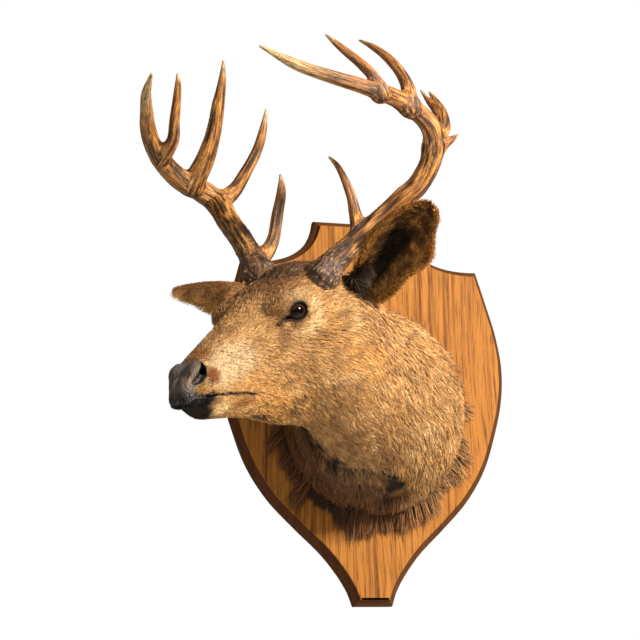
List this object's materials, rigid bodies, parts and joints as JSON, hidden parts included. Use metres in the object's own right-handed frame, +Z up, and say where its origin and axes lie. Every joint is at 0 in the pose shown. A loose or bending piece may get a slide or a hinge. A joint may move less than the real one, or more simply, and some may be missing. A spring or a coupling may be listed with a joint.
{
  "type": "deer head mount",
  "caption": "Life-size mounted deer head and neck with branched antlers, head turned to its right and lowered, on a flat wooden shield plaque that hangs on a wall.",
  "frame": {"origin": "middle of the plaque's flat back face, where it lies on the wall", "axes": "+Z up the plaque, +Y into the wall (the outward normal of the plaque's back face), +X to the deer's left; the mount stands out towards -Y"},
  "size_m": [0.5593, 0.4558, 0.6865],
  "materials": {
    "coat": "tanned hide with its hair on, matt, golden tan with a grey-brown forehead and a darker throat",
    "nose_pad": "near-black pebbled skin, slightly moist sheen",
    "glass_eye": "polished, near-black brown",
    "antler": "ridged bone, brown with rubbed golden ridges, satin",
    "oak": "satin varnished oak, orange-brown, open vertical grain"
  },
  "bodies": {
    "root": {"plaque": "oak", "neck": "coat", "head": "coat", "lower_jaw": "coat", "nose": "nose_pad", "ear_left": "coat", "ear_right": "coat", "eye_left": "glass_eye", "eye_right": "glass_eye", "antler_left_beam_lower": "antler", "antler_left_beam_middle": "antler", "antler_left_beam_end": "antler", "antler_left_brow_tine": "antler", "antler_left_second_tine": "antler", "antler_left_split_tine": "antler", "antler_left_third_tine": "antler", "antler_left_fourth_tine": "antler", "antler_left_spur": "antler", "antler_right_beam_lower": "antler", "antler_right_beam_middle": "antler", "antler_right_beam_end": "antler", "antler_right_brow_tine": "antler", "antler_right_second_tine": "antler", "antler_right_third_tine": "antler", "antler_right_fourth_tine": "antler"}
  },
  "joints": []
}
